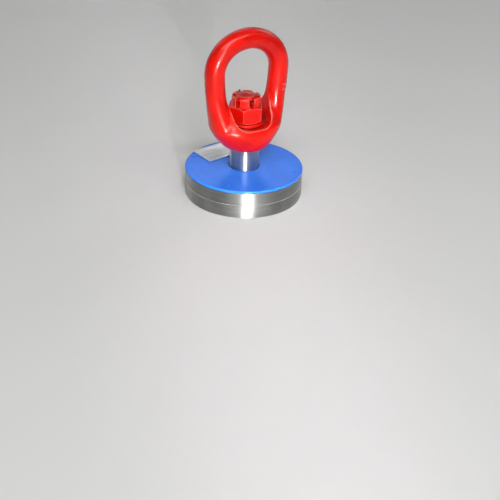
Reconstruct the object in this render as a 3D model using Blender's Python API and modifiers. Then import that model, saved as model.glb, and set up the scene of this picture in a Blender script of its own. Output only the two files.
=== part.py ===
"""Permanent lifting magnet: a round two-pole magnet body, a stem, and a swivelling lifting eye.

Metres, +Z up. The origin is the centre of the work face, the flat underside that holds the load.
The eye turns on the stem about the Z axis; at rest its ring lies in the XZ plane.
Pieces that touch keep a gap of CLEAR between them.
"""
from math import copysign, cos, pi, radians, sin

import bmesh
import bpy
from mathutils import Matrix, Vector

MM = 0.001
CLEAR = 0.3 * MM

# Magnet body
BODY_RADIUS = 62.5 * MM
PARTING_Z = 14.7 * MM            # underside of the yoke plate
YOKE_TOP = 27.7 * MM
COVER_TOP = 30.5 * MM
COVER_EDGE_RADIUS = 1.8 * MM
POLE_RADIUS = 45.0 * MM
POLE_TOP = 9.1 * MM
GAP_RING_RADIUS = 48.6 * MM
MAGNET_COUNT = 8
MAGNET_RADIUS = 10.0 * MM
MAGNET_CIRCLE = 33.0 * MM
EDGE_CHAMFER = 0.4 * MM
FOOT_CHAMFER = 0.8 * MM

# Seals in the body
BODY_SEAL_CIRCLE = 50.8 * MM
BODY_SEAL_WIRE = 0.7 * MM
SEAL_GROOVE_HALF = 0.9 * MM
SEAL_GROOVE_DEPTH = 1.7 * MM
STEM_SEAL_Z = 23.8 * MM
STEM_SEAL_WIRE = 0.9 * MM

# Screws: the circles they stand on, and their shank radii
COVER_SCREW_CIRCLE = 54.6 * MM
COVER_SCREW_RADIUS = 1.5 * MM
COVER_HEAD_RADIUS = 2.9 * MM
BODY_SCREW_CIRCLE = 55.5 * MM
BODY_SCREW_RADIUS = 2.5 * MM
BODY_HEAD_RADIUS = 4.25 * MM
BODY_HEAD_HEIGHT = 5.0 * MM
POLE_SCREW_CIRCLE = 38.0 * MM
POLE_SCREW_RADIUS = 2.5 * MM
POLE_HEAD_RADIUS = 5.0 * MM

# Stem and stud
STEM_RADIUS = 15.5 * MM
STEM_FLANGE_RADIUS = 25.0 * MM
STEM_FLANGE_TOP = 20.0 * MM
COVER_HOLE_RADIUS = 16.5 * MM
SHOULDER_Z = 54.0 * MM
STUD_RADIUS = 11.0 * MM
STUD_TOP = 109.4 * MM

# Swivel eye
BOSS_BOTTOM = 54.5 * MM
BOSS_FOOT_RADIUS = 21.0 * MM
BOWL_TOP = 79.5 * MM             # where the bowl reaches its full width
SHOULDER_FOOT_Z = 72.0 * MM      # between these heights the bowl's depth falls away into the legs
SHOULDER_HEAD_Z = 116.0 * MM
SHOULDER_HEAD_DEPTH = 1.0 * MM
BOSS_HALF_WIDTH = 40.0 * MM
BOSS_HALF_DEPTH = 27.6 * MM
BOSS_FLARE = 1.3                 # power of the bowl's outline along X; 1 is a straight flare
BOSS_ROUNDNESS = 2.5             # power of the bowl's outline along Y; 2 is an ellipse
BOSS_SQUARENESS = 0.3            # how much squarer than an oval the rim is, seen from above
SEAT_Z = 79.5 * MM
SEAT_RADIUS = 21.5 * MM
WINDOW_CORNER = 13.0 * MM
STOCK_RADIUS = 10.25 * MM
RING_HALF_WIDTH = 36.5 * MM      # centreline of the stock at the ring's widest
RING_CROWN_Z = 135.0 * MM
RING_CROWN_RISE = 32.5 * MM
LEG_TAPER = 0.8 * MM             # how far a leg leans in over the first LEG_RUN, and its curve
LEG_CURVE = 5.6 * MM
LEG_RUN = 50.0 * MM
LEG_FOOT_Z = 79.0 * MM
LEG_SPREAD_Z = 112.0 * MM        # below this the legs deepen towards the boss
LEG_SPREAD_FOOT_Z = 74.0 * MM
LEG_SPREAD_DEPTH = 9.0 * MM
LEG_SPREAD_THICKNESS = 0.8 * MM
BUSH_RADIUS = 13.7 * MM

# Castle nut, washer and split pin
WASHER_RADIUS = 19.0 * MM
WASHER_TOP = 82.7 * MM
NUT_ACROSS_FLATS = 34.0 * MM
NUT_BOTTOM = 83.0 * MM
NUT_HEX_TOP = 99.7 * MM
NUT_TOP = 108.4 * MM
NUT_CROWN_RADIUS = 15.0 * MM
NUT_SLOT_WIDTH = 5.6 * MM
NUT_TURN = radians(-96.0)        # the slot that holds the split pin's eye
PIN_Z = 103.6 * MM
PIN_WIRE = 1.1 * MM
PIN_HALF_PITCH = 1.2 * MM
PIN_HOLE_RADIUS = 2.8 * MM
PIN_LOOP_RADIUS = 2.3 * MM

# Rating plate
PLATE_LENGTH = 56.0 * MM
PLATE_WIDTH = 31.0 * MM
PLATE_THICKNESS = 1.6 * MM
PLATE_CIRCLE = 39.6 * MM
PLATE_ANGLE = radians(98.0)

BIG_STEPS = 48
MID_STEPS = 32
SMALL_STEPS = 12
MAGNET_STEPS = 16

COLLECTION_NAME = "lifting_magnet"
parts = None
cutters = None


def clear_scene():
    for obj in list(bpy.data.objects):
        bpy.data.objects.remove(obj, do_unlink=True)


def new_collection(name):
    collection = bpy.data.collections.new(name)
    bpy.context.scene.collection.children.link(collection)
    return collection


def material(name, colour, metallic, roughness):
    if name in bpy.data.materials:
        return bpy.data.materials[name]
    mat = bpy.data.materials.new(name)
    mat.use_nodes = True
    shader = mat.node_tree.nodes["Principled BSDF"]
    shader.inputs["Base Color"].default_value = (*colour, 1.0)
    shader.inputs["Metallic"].default_value = metallic
    shader.inputs["Roughness"].default_value = roughness
    return mat


def red_paint():
    return material("red_paint", (0.62, 0.012, 0.008), 0.0, 0.3)


def blue_paint():
    return material("blue_paint", (0.05, 0.19, 0.75), 0.0, 0.25)


def ground_steel():
    return material("ground_steel", (0.66, 0.66, 0.64), 1.0, 0.22)


def dark_steel():
    return material("dark_steel", (0.07, 0.07, 0.075), 0.9, 0.45)


def brass():
    return material("brass", (0.78, 0.57, 0.2), 1.0, 0.3)


def rubber():
    return material("rubber", (0.02, 0.02, 0.02), 0.0, 0.7)


def magnet_nickel():
    return material("magnet_nickel", (0.6, 0.58, 0.53), 1.0, 0.2)


def aluminium():
    return material("aluminium", (0.75, 0.76, 0.77), 1.0, 0.35)


def add_part(name, mesh, mat):
    mesh.materials.clear()
    mesh.materials.append(mat)
    obj = bpy.data.objects.new(name, mesh)
    parts.objects.link(obj)
    return obj


def add_cutter(name, mesh):
    obj = bpy.data.objects.new(name, mesh)
    cutters.objects.link(obj)
    obj.hide_render = True
    obj.display_type = "WIRE"
    return obj


def shade_round(obj):
    obj.data.shade_smooth()
    obj.data.set_sharp_from_angle(angle=radians(35.0))


def profile_mesh(name, profile, closed):
    """An XZ outline of (radius, height) points, run top to bottom down its outer side."""
    verts = [(radius, 0.0, height) for radius, height in profile]
    edges = [(i, i + 1) for i in range(len(verts) - 1)]
    if closed:
        edges.append((len(verts) - 1, 0))
    mesh = bpy.data.meshes.new(name)
    mesh.from_pydata(verts, edges, [])
    return mesh


def screw_turn(obj, steps):
    turn = obj.modifiers.new("turn", "SCREW")
    turn.angle = 2.0 * pi
    turn.steps = steps
    turn.render_steps = steps
    turn.use_merge_vertices = True
    turn.merge_threshold = 0.00001
    turn.use_smooth_shade = True


def turned(name, profile, mat, steps=MID_STEPS, ring=True, location=(0.0, 0.0, 0.0)):
    """A turned piece. A ring's profile is a closed loop; a solid's ends on the axis."""
    obj = add_part(name, profile_mesh(name, profile, ring), mat)
    screw_turn(obj, steps)
    obj.location = location
    return obj


def turned_cutter(name, profile, steps=SMALL_STEPS, location=(0.0, 0.0, 0.0)):
    obj = add_cutter(name, profile_mesh(name, profile, False))
    screw_turn(obj, steps)
    obj.location = location
    return obj


def cylinder_mesh(name, radius, low, high, segments, centres=((0.0, 0.0),)):
    """Upright cylinders of one radius, all in one mesh."""
    bm = bmesh.new()
    for x, y in centres:
        place = Matrix.Translation((x, y, (low + high) / 2.0))
        bmesh.ops.create_cone(bm, cap_ends=True, segments=segments, radius1=radius,
                              radius2=radius, depth=high - low, matrix=place)
    mesh = bpy.data.meshes.new(name)
    bm.to_mesh(mesh)
    bm.free()
    return mesh


def box_mesh(name, size, place):
    bm = bmesh.new()
    bmesh.ops.create_cube(bm, size=1.0, matrix=place @ Matrix.Diagonal((*size, 1.0)))
    mesh = bpy.data.meshes.new(name)
    bm.to_mesh(mesh)
    bm.free()
    return mesh


def boolean(obj, other, operation="DIFFERENCE"):
    step = obj.modifiers.new(operation.lower(), "BOOLEAN")
    step.operation = operation
    step.object = other
    step.solver = "EXACT"


def on_circle(radius, count, first=0.0):
    step = 2.0 * pi / count
    return [(radius * cos(first + i * step), radius * sin(first + i * step)) for i in range(count)]


def arc(centre, radius, start, end, steps):
    """Points of an arc in the (radius, height) plane; angles in degrees."""
    points = []
    for i in range(steps + 1):
        angle = radians(start + (end - start) * i / steps)
        points.append((centre[0] + radius * cos(angle), centre[1] + radius * sin(angle)))
    return points


def torus_profile(circle, wire, height):
    return arc((circle, height), wire, 90.0, -225.0, 7)


def body_places():
    cover = on_circle(COVER_SCREW_CIRCLE, 4, radians(45.0))
    body = on_circle(BODY_SCREW_CIRCLE, 4)
    pole = on_circle(POLE_SCREW_CIRCLE, 4, radians(22.5))
    return cover, body, pole


def make_pole_ring(body_places_xy):
    inner = GAP_RING_RADIUS + CLEAR
    top = PARTING_Z - CLEAR
    groove_in = BODY_SEAL_CIRCLE - SEAL_GROOVE_HALF
    groove_out = BODY_SEAL_CIRCLE + SEAL_GROOVE_HALF
    groove_floor = top - SEAL_GROOVE_DEPTH
    profile = [(BODY_RADIUS - EDGE_CHAMFER, top), (BODY_RADIUS, top - EDGE_CHAMFER),
               (BODY_RADIUS, FOOT_CHAMFER), (BODY_RADIUS - FOOT_CHAMFER, 0.0),
               (inner, 0.0), (inner, top), (groove_in, top), (groove_in, groove_floor),
               (groove_out, groove_floor), (groove_out, top)]
    ring = turned("pole_ring", profile, ground_steel(), BIG_STEPS)
    holes = cylinder_mesh("pole_ring_holes", BODY_SCREW_RADIUS + CLEAR, 4.0 * MM,
                          PARTING_Z + MM, SMALL_STEPS, body_places_xy)
    boolean(ring, add_cutter("pole_ring_holes", holes))


def make_yoke_plate(cover_places, body_places_xy, pole_places):
    bore = STEM_RADIUS + CLEAR
    recess = STEM_FLANGE_RADIUS + CLEAR
    recess_top = STEM_FLANGE_TOP + CLEAR
    groove = STEM_RADIUS + 2.5 * MM
    groove_half = STEM_SEAL_WIRE + CLEAR
    profile = [(BODY_RADIUS - CLEAR, YOKE_TOP), (BODY_RADIUS, YOKE_TOP - CLEAR),
               (BODY_RADIUS, PARTING_Z + EDGE_CHAMFER), (BODY_RADIUS - EDGE_CHAMFER, PARTING_Z),
               (recess, PARTING_Z), (recess, recess_top), (bore, recess_top),
               (bore, STEM_SEAL_Z - groove_half), (groove, STEM_SEAL_Z - groove_half),
               (groove, STEM_SEAL_Z + groove_half), (bore, STEM_SEAL_Z + groove_half),
               (bore, YOKE_TOP)]
    yoke = turned("yoke_plate", profile, ground_steel(), BIG_STEPS)
    above = YOKE_TOP + MM
    below = PARTING_Z - MM
    cuts = {
        "yoke_cover_threads": (COVER_SCREW_RADIUS + CLEAR, 19.0 * MM, above, cover_places),
        "yoke_body_holes": (BODY_SCREW_RADIUS + CLEAR, below, above, body_places_xy),
        "yoke_head_recesses": (BODY_HEAD_RADIUS + CLEAR, 20.7 * MM, above, body_places_xy),
        "yoke_pole_threads": (POLE_SCREW_RADIUS + CLEAR, below, 25.0 * MM, pole_places),
    }
    for name, (radius, low, high, centres) in cuts.items():
        mesh = cylinder_mesh(name, radius, low, high, SMALL_STEPS, centres)
        boolean(yoke, add_cutter(name, mesh))


def make_top_cover(cover_places):
    low = YOKE_TOP + CLEAR
    edge = COVER_EDGE_RADIUS
    corner = (BODY_RADIUS - edge, COVER_TOP - edge)
    profile = arc(corner, edge, 90.0, 0.0, 3)
    profile += [(BODY_RADIUS, low), (COVER_HOLE_RADIUS, low),
                (COVER_HOLE_RADIUS, COVER_TOP - CLEAR), (COVER_HOLE_RADIUS + CLEAR, COVER_TOP)]
    cover = turned("top_cover", profile, blue_paint(), BIG_STEPS)
    for number, (x, y) in enumerate(cover_places, 1):
        head = COVER_HEAD_RADIUS + CLEAR
        shank = COVER_SCREW_RADIUS + CLEAR
        cone = [(0.0, COVER_TOP + MM), (head, COVER_TOP + MM), (head, 30.1 * MM),
                (shank, 28.7 * MM), (shank, low - MM), (0.0, low - MM)]
        boolean(cover, turned_cutter(f"cover_hole_{number}", cone, location=(x, y, 0.0)))


def make_screw(name, profile, socket_radius, socket_floor, socket_mouth, place, mat):
    """A turned screw with a hexagon socket, cut a little past its mouth."""
    screw = turned(name, profile, mat, SMALL_STEPS, ring=False, location=(*place, 0.0))
    overrun = MM if socket_mouth > socket_floor else -MM
    low, high = sorted((socket_floor, socket_mouth + overrun))
    socket = add_cutter(f"{name}_socket", cylinder_mesh(f"{name}_socket", socket_radius, low, high, 6))
    socket.location = (*place, 0.0)
    boolean(screw, socket)


def make_cover_screws(places):
    top = 30.3 * MM
    for number, place in enumerate(places, 1):
        profile = [(0.0, top), (COVER_HEAD_RADIUS, top), (COVER_HEAD_RADIUS, top - 0.2 * MM),
                   (COVER_SCREW_RADIUS, 28.7 * MM), (COVER_SCREW_RADIUS, 20.0 * MM),
                   (COVER_SCREW_RADIUS - 0.4 * MM, 19.6 * MM), (0.0, 19.6 * MM)]
        make_screw(f"cover_screw_{number}", profile, 1.1 * MM, 29.2 * MM, top, place, blue_paint())


def make_body_screws(places):
    seat = 21.0 * MM
    top = seat + BODY_HEAD_HEIGHT
    end = 5.0 * MM
    for number, place in enumerate(places, 1):
        profile = [(0.0, top), (BODY_HEAD_RADIUS - EDGE_CHAMFER, top),
                   (BODY_HEAD_RADIUS, top - EDGE_CHAMFER), (BODY_HEAD_RADIUS, seat),
                   (BODY_SCREW_RADIUS, seat), (BODY_SCREW_RADIUS, end + 0.6 * MM),
                   (BODY_SCREW_RADIUS - 0.6 * MM, end), (0.0, end)]
        make_screw(f"body_screw_{number}", profile, 2.3 * MM, top - 2.6 * MM, top, place, dark_steel())


def make_pole_screws(places):
    face = 0.4 * MM
    cone_top = 3.2 * MM
    end = 24.0 * MM
    for number, place in enumerate(places, 1):
        profile = [(0.0, end), (POLE_SCREW_RADIUS - 0.6 * MM, end),
                   (POLE_SCREW_RADIUS, end - 0.6 * MM), (POLE_SCREW_RADIUS, cone_top),
                   (POLE_HEAD_RADIUS, face + 0.3 * MM), (POLE_HEAD_RADIUS, face), (0.0, face)]
        make_screw(f"pole_screw_{number}", profile, 1.75 * MM, 2.4 * MM, face, place, dark_steel())


def make_centre_pole(places):
    profile = [(0.0, POLE_TOP), (POLE_RADIUS - CLEAR, POLE_TOP), (POLE_RADIUS, POLE_TOP - CLEAR),
               (POLE_RADIUS, CLEAR), (POLE_RADIUS - CLEAR, 0.0), (0.0, 0.0)]
    pole = turned("centre_pole", profile, ground_steel(), BIG_STEPS, ring=False)
    head = POLE_HEAD_RADIUS + CLEAR
    shank = POLE_SCREW_RADIUS + CLEAR
    for number, (x, y) in enumerate(places, 1):
        cone = [(0.0, POLE_TOP + MM), (shank, POLE_TOP + MM), (shank, 3.2 * MM),
                (head, 0.7 * MM), (head, -MM), (0.0, -MM)]
        boolean(pole, turned_cutter(f"pole_hole_{number}", cone, location=(x, y, 0.0)))


def make_gap_ring():
    inner = POLE_RADIUS + CLEAR
    foot = 0.2 * MM
    profile = [(GAP_RING_RADIUS, POLE_TOP), (GAP_RING_RADIUS, foot), (inner, foot),
               (inner, POLE_TOP)]
    turned("gap_ring", profile, brass(), BIG_STEPS)


def make_magnets(pole_places):
    low = POLE_TOP + CLEAR
    high = PARTING_Z - CLEAR
    places = on_circle(MAGNET_CIRCLE, MAGNET_COUNT)
    for number, (x, y) in enumerate(places, 1):
        edge = 0.3 * MM
        profile = [(0.0, high), (MAGNET_RADIUS - edge, high), (MAGNET_RADIUS, high - edge),
                   (MAGNET_RADIUS, low + edge), (MAGNET_RADIUS - edge, low), (0.0, low)]
        turned(f"magnet_{number}", profile, magnet_nickel(), MAGNET_STEPS, ring=False, location=(x, y, 0.0))
    outline = [(0.0, high), (GAP_RING_RADIUS, high), (GAP_RING_RADIUS, low), (0.0, low)]
    carrier = turned("magnet_carrier", outline, aluminium(), BIG_STEPS, ring=False)
    pockets = cylinder_mesh("magnet_pockets", MAGNET_RADIUS + CLEAR, low - MM, high + MM,
                            MAGNET_STEPS, places)
    boolean(carrier, add_cutter("magnet_pockets", pockets))
    holes = cylinder_mesh("carrier_holes", POLE_SCREW_RADIUS + CLEAR, low - MM, high + MM,
                          SMALL_STEPS, pole_places)
    boolean(carrier, add_cutter("carrier_holes", holes))


def make_seals():
    body_z = PARTING_Z - CLEAR - BODY_SEAL_WIRE
    turned("body_seal", torus_profile(BODY_SEAL_CIRCLE, BODY_SEAL_WIRE, body_z), rubber(), BIG_STEPS)
    stem_circle = STEM_RADIUS + CLEAR + STEM_SEAL_WIRE + 0.1 * MM
    turned("stem_seal", torus_profile(stem_circle, STEM_SEAL_WIRE, STEM_SEAL_Z), rubber())


def make_stem():
    chamfer = 1.0 * MM
    profile = [(0.0, STUD_TOP), (STUD_RADIUS - chamfer, STUD_TOP), (STUD_RADIUS, STUD_TOP - chamfer),
               (STUD_RADIUS, SHOULDER_Z), (STEM_RADIUS - chamfer / 2.0, SHOULDER_Z),
               (STEM_RADIUS, SHOULDER_Z - chamfer / 2.0), (STEM_RADIUS, STEM_FLANGE_TOP),
               (STEM_FLANGE_RADIUS - chamfer / 2.0, STEM_FLANGE_TOP),
               (STEM_FLANGE_RADIUS, STEM_FLANGE_TOP - chamfer / 2.0),
               (STEM_FLANGE_RADIUS, PARTING_Z), (0.0, PARTING_Z)]
    stem = turned("stem", profile, ground_steel(), MID_STEPS, ring=False)
    hole = add_cutter("stem_pin_hole", cylinder_mesh("stem_pin_hole", PIN_HOLE_RADIUS,
                                                     -STUD_RADIUS * 1.5, STUD_RADIUS * 1.5, SMALL_STEPS))
    hole.rotation_euler = (0.0, pi / 2.0, NUT_TURN)
    hole.location = (0.0, 0.0, PIN_Z)
    boolean(stem, hole)


def leg_offset(height):
    """How far the stock's centreline stands from the axis, below the ring's crown."""
    run = (RING_CROWN_Z - height) / LEG_RUN
    return RING_HALF_WIDTH - LEG_TAPER * run - LEG_CURVE * run * run


def ring_stations():
    """Places, tangents and half sizes along the eye's stock: up one leg, over, and down the other."""
    leg_steps = 7
    crown_steps = 16
    leg = []
    for i in range(leg_steps):
        height = LEG_FOOT_Z + (RING_CROWN_Z - LEG_FOOT_Z) * i / leg_steps
        leg.append((leg_offset(height), height))
    outline = list(leg)
    for i in range(crown_steps + 1):
        angle = pi * i / crown_steps
        height = RING_CROWN_Z + RING_CROWN_RISE * sin(angle)
        outline.append((RING_HALF_WIDTH * cos(angle), height))
    outline += [(-x, z) for x, z in reversed(leg)]
    path = [Vector((x, 0.0, z)) for x, z in outline]
    stations = []
    for i, place in enumerate(path):
        before = path[max(i - 1, 0)]
        after = path[min(i + 1, len(path) - 1)]
        run = (LEG_SPREAD_Z - place.z) / (LEG_SPREAD_Z - LEG_SPREAD_FOOT_Z)
        spread = min(max(run, 0.0), 1.0) ** 1.3
        thickness = STOCK_RADIUS + LEG_SPREAD_THICKNESS * spread
        stations.append((place, (after - before).normalized(), thickness,
                         STOCK_RADIUS + LEG_SPREAD_DEPTH * spread))
    return stations


def loft(name, rings):
    """A closed skin over rings of points, each run anticlockwise as seen from the last ring."""
    bm = bmesh.new()
    rows = [[bm.verts.new(point) for point in ring] for ring in rings]
    for lower, upper in zip(rows, rows[1:]):
        for i in range(len(lower)):
            j = (i + 1) % len(lower)
            bm.faces.new((lower[i], lower[j], upper[j], upper[i]))
    bm.faces.new(reversed(rows[0]))
    bm.faces.new(rows[-1])
    bmesh.ops.recalc_face_normals(bm, faces=bm.faces)
    mesh = bpy.data.meshes.new(name)
    bm.to_mesh(mesh)
    bm.free()
    return mesh


def stock_mesh():
    """The eye's round stock, which grows oval towards the boss."""
    sides = 18
    rings = []
    for place, tangent, thickness, depth in ring_stations():
        across = Vector((tangent.z, 0.0, -tangent.x))
        ring = []
        for i in range(sides):
            angle = 2.0 * pi * i / sides
            ring.append(place + across * thickness * cos(angle) + Vector((0.0, depth * sin(angle), 0.0)))
        rings.append(ring)
    return loft("eye_stock", rings)


def welded_mesh(name, curve_data, place=Matrix.Identity(4)):
    """A curve's own surface as a closed mesh, with its caps joined on."""
    guide = bpy.data.objects.new(name, curve_data)
    cutters.objects.link(guide)
    graph = bpy.context.evaluated_depsgraph_get()
    mesh = bpy.data.meshes.new_from_object(guide.evaluated_get(graph))
    bpy.data.objects.remove(guide, do_unlink=True)
    bm = bmesh.new()
    bm.from_mesh(mesh)
    bmesh.ops.transform(bm, matrix=place, verts=bm.verts)
    bmesh.ops.remove_doubles(bm, verts=bm.verts, dist=0.00001)
    bmesh.ops.recalc_face_normals(bm, faces=bm.faces)
    bm.to_mesh(mesh)
    bm.free()
    return mesh


def wire_mesh(name, path, radius, resolution):
    """A round wire along a path, with flat ends."""
    data = bpy.data.curves.new(name, "CURVE")
    data.dimensions = "3D"
    data.bevel_depth = radius
    data.bevel_resolution = resolution
    data.use_fill_caps = True
    spline = data.splines.new("POLY")
    spline.points.add(len(path) - 1)
    for point, place in zip(spline.points, path):
        point.co = (*place, 1.0)
    return welded_mesh(name, data)


def smooth_fall(value, start, end):
    """1 before start, 0 after end, and a cosine slope between them."""
    run = min(max((value - start) / (end - start), 0.0), 1.0)
    return 0.5 + 0.5 * cos(pi * run)


def boss_sections():
    """(height, half width, half depth) of the bowl-shaped boss and of its shoulders up the legs."""
    def bulge(rise, power):
        return (1.0 - (1.0 - rise) ** power) ** (1.0 / power)

    sections = []
    bowl_steps = 9
    for i in range(bowl_steps + 1):
        rise = (i / bowl_steps) ** 1.7
        height = BOSS_BOTTOM + (BOWL_TOP - BOSS_BOTTOM) * rise
        half_width = BOSS_FOOT_RADIUS + (BOSS_HALF_WIDTH - BOSS_FOOT_RADIUS) * bulge(rise, BOSS_FLARE)
        half_depth = BOSS_FOOT_RADIUS + (BOSS_HALF_DEPTH - BOSS_FOOT_RADIUS) * bulge(rise, BOSS_ROUNDNESS)
        sections.append((height, half_width, half_depth))
    shoulder_steps = 6
    for i in range(1, shoulder_steps + 1):
        height = BOWL_TOP + (SHOULDER_HEAD_Z - BOWL_TOP) * i / shoulder_steps
        sections.append((height, leg_offset(height) + 0.8 * STOCK_RADIUS, BOSS_HALF_DEPTH))
    shaped = []
    for height, half_width, half_depth in sections:
        fall = smooth_fall(height, SHOULDER_FOOT_Z, SHOULDER_HEAD_Z)
        depth = SHOULDER_HEAD_DEPTH + (half_depth - SHOULDER_HEAD_DEPTH) * fall
        shaped.append((height, half_width, depth))
    return shaped


def boss_mesh():
    """The bowl is a loft from a round foot to an oval rim."""
    rings = []
    for height, half_width, half_depth in boss_sections():
        ring = []
        rise = (height - BOSS_BOTTOM) / (BOWL_TOP - BOSS_BOTTOM)
        power = 2.0 / (2.0 + BOSS_SQUARENESS * min(rise, 1.0))
        for i in range(MID_STEPS):
            angle = 2.0 * pi * i / MID_STEPS
            x = half_width * copysign(abs(cos(angle)) ** power, cos(angle))
            y = half_depth * copysign(abs(sin(angle)) ** power, sin(angle))
            ring.append((x, y, height))
        rings.append(ring)
    return loft("swivel_eye", rings)


def window_mesh():
    """The foot of the window between the legs: a flat seat, rounded corners and the legs' inner faces."""
    def leg_face(height):
        return leg_offset(height) - STOCK_RADIUS

    side = []
    face_steps = 5
    corner_z = SEAT_Z + WINDOW_CORNER
    for i in range(face_steps + 1):
        height = SHOULDER_HEAD_Z + 2.0 * MM - (SHOULDER_HEAD_Z + 2.0 * MM - corner_z) * i / face_steps
        side.append((leg_face(height), height))
    side += arc((leg_face(corner_z) - WINDOW_CORNER, corner_z), WINDOW_CORNER, 0.0, -90.0, 5)[1:]
    outline = side + [(-x, z) for x, z in reversed(side)]
    data = bpy.data.curves.new("eye_window", "CURVE")
    data.dimensions = "2D"
    data.fill_mode = "BOTH"
    data.extrude = 1.5 * BOSS_HALF_DEPTH
    spline = data.splines.new("POLY")
    spline.points.add(len(outline) - 1)
    spline.use_cyclic_u = True
    for point, (x, z) in zip(spline.points, outline):
        point.co = (x, z, 0.0, 1.0)
    return welded_mesh("eye_window", data, Matrix.Rotation(pi / 2.0, 4, "X"))


def make_swivel_eye(pivot):
    eye = add_part("swivel_eye", boss_mesh(), red_paint())
    boolean(eye, add_cutter("eye_stock", stock_mesh()), "UNION")
    boolean(eye, add_cutter("eye_window", window_mesh()))
    seat = cylinder_mesh("eye_seat", SEAT_RADIUS, SEAT_Z - CLEAR, RING_CROWN_Z - 15.0 * MM, MID_STEPS)
    boolean(eye, add_cutter("eye_seat", seat))
    bore = cylinder_mesh("eye_bore", BUSH_RADIUS + CLEAR, BOSS_BOTTOM - MM, SEAT_Z + MM, MID_STEPS)
    boolean(eye, add_cutter("eye_bore", bore))
    shade_round(eye)
    low = BOSS_BOTTOM + CLEAR
    high = SEAT_Z - CLEAR
    inner = STUD_RADIUS + CLEAR
    bush = turned("eye_bush", [(BUSH_RADIUS, high), (BUSH_RADIUS, low), (inner, low), (inner, high)],
                  brass())
    for piece in (eye, bush):
        piece.parent = pivot
        piece.matrix_parent_inverse = pivot.matrix_world.inverted()


def make_thrust_washer():
    low = SEAT_Z + CLEAR
    inner = STUD_RADIUS + CLEAR
    profile = [(WASHER_RADIUS - EDGE_CHAMFER, WASHER_TOP), (WASHER_RADIUS, WASHER_TOP - EDGE_CHAMFER),
               (WASHER_RADIUS, low), (inner, low), (inner, WASHER_TOP)]
    turned("thrust_washer", profile, red_paint())


def make_castle_nut():
    """A hexagon bar trimmed by a turned envelope, then bored and slotted."""
    half_flats = NUT_ACROSS_FLATS / 2.0
    corner = half_flats / cos(pi / 6.0)
    hexagon = cylinder_mesh("castle_nut", corner, NUT_BOTTOM, NUT_TOP + MM, 6)
    hexagon.transform(Matrix.Rotation(NUT_TURN, 4, "Z"))
    nut = add_part("castle_nut", hexagon, red_paint())
    cone_drop = (corner - half_flats) * 0.6
    crown_edge = 0.7 * MM
    envelope = [(0.0, NUT_TOP), (NUT_CROWN_RADIUS - crown_edge, NUT_TOP),
                (NUT_CROWN_RADIUS, NUT_TOP - crown_edge), (NUT_CROWN_RADIUS, NUT_HEX_TOP),
                (half_flats - 0.5 * MM, NUT_HEX_TOP), (corner + 0.2 * MM, NUT_HEX_TOP - cone_drop - 0.2 * MM),
                (corner + 0.2 * MM, NUT_BOTTOM - MM), (0.0, NUT_BOTTOM - MM)]
    boolean(nut, turned_cutter("nut_envelope", envelope, MID_STEPS), "INTERSECT")
    bore = cylinder_mesh("nut_bore", STUD_RADIUS + CLEAR, NUT_BOTTOM - MM, NUT_TOP + MM, MID_STEPS)
    boolean(nut, add_cutter("nut_bore", bore))
    slot_height = NUT_TOP - NUT_HEX_TOP + 2.0 * MM
    for number in range(3):
        turn = Matrix.Rotation(NUT_TURN + number * pi / 3.0, 4, "Z")
        place = Matrix.Translation((0.0, 0.0, NUT_HEX_TOP + slot_height / 2.0 + 0.1 * MM)) @ turn
        size = (3.0 * NUT_CROWN_RADIUS, NUT_SLOT_WIDTH, slot_height)
        boolean(nut, add_cutter(f"nut_slot_{number + 1}", box_mesh(f"nut_slot_{number + 1}", size, place)))


def pin_path():
    """The split pin's wire: up-bent tail, shank, eye loop, shank, down-bent tail."""
    bend = 2.0 * MM
    leave = 15.6 * MM                # where the tails leave the crown, from the axis
    half = PIN_HALF_PITCH
    upper = [(-leave - bend, 4.4 * MM), (-leave - bend, half + bend)]
    upper += arc((-leave, half + bend), bend, 180.0, 270.0, 4)[1:]
    loop_centre = leave + 3.0 * MM
    opening = 180.0 - 31.5
    loop = arc((loop_centre, 0.0), PIN_LOOP_RADIUS, opening, -opening, 14)
    drop = 1.9 * MM                  # the lower tail clears the hexagon's flat before it turns down
    lower = arc((-leave - drop, -half - bend), bend, 90.0, 180.0, 4)
    lower.append((-leave - drop - bend, -9.0 * MM))
    outline = upper + loop + lower
    turn = Matrix.Translation((0.0, 0.0, PIN_Z)) @ Matrix.Rotation(NUT_TURN, 4, "Z")
    return [turn @ Vector((x, 0.0, z)) for x, z in outline]


def make_split_pin():
    pin = add_part("split_pin", wire_mesh("split_pin", pin_path(), PIN_WIRE, 2), red_paint())
    shade_round(pin)


def make_rating_plate():
    low = COVER_TOP + CLEAR
    place = Matrix.Rotation(PLATE_ANGLE, 4, "Z") @ Matrix.Translation(
        (PLATE_CIRCLE, 0.0, low + PLATE_THICKNESS / 2.0))
    mesh = box_mesh("rating_plate", (PLATE_WIDTH, PLATE_LENGTH, PLATE_THICKNESS), Matrix.Identity(4))
    plate = add_part("rating_plate", mesh, aluminium())
    plate.matrix_world = place
    edge = plate.modifiers.new("edge", "BEVEL")
    edge.width = 0.3 * MM
    edge.segments = 1


def make_pivot():
    pivot = bpy.data.objects.new("eye_swivel_axis", None)
    parts.objects.link(pivot)
    pivot.location = (0.0, 0.0, SEAT_Z)
    bpy.context.view_layer.update()
    return pivot


def main():
    global parts, cutters
    clear_scene()
    parts = new_collection(COLLECTION_NAME)
    cutters = new_collection(f"{COLLECTION_NAME}_cutters")
    cover_places, body_places_xy, pole_places = body_places()
    make_pole_ring(body_places_xy)
    make_yoke_plate(cover_places, body_places_xy, pole_places)
    make_top_cover(cover_places)
    make_cover_screws(cover_places)
    make_body_screws(body_places_xy)
    make_centre_pole(pole_places)
    make_pole_screws(pole_places)
    make_gap_ring()
    make_magnets(pole_places)
    make_seals()
    make_stem()
    make_swivel_eye(make_pivot())
    make_thrust_washer()
    make_castle_nut()
    make_split_pin()
    make_rating_plate()


main()
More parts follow.
